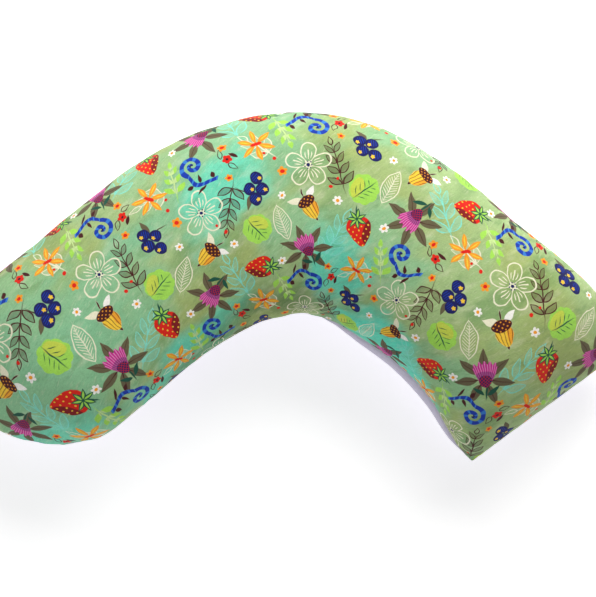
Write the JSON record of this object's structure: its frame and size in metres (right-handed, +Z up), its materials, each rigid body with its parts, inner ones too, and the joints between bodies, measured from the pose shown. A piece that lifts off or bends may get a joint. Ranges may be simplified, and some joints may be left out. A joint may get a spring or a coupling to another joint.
{
  "type": "v shaped pillow",
  "caption": "Filled V shaped cloth pillow with a full round crown, wide arms and a turned seam all round; it lies on its flat back.",
  "frame": {"origin": "middle of the bounding box, on the surface the pillow lies on", "axes": "+X from the left arm's end to the right arm's end, +Y towards the outside of the bend, +Z up out of the printed face"},
  "size_m": [0.8245, 0.3961, 0.1662],
  "materials": {
    "pillow_cloth": "matt brushed cotton, green ground with a garden print on the front, plain pale cloth on the back"
  },
  "bodies": {
    "root": {"pillow": "pillow_cloth"}
  },
  "joints": []
}
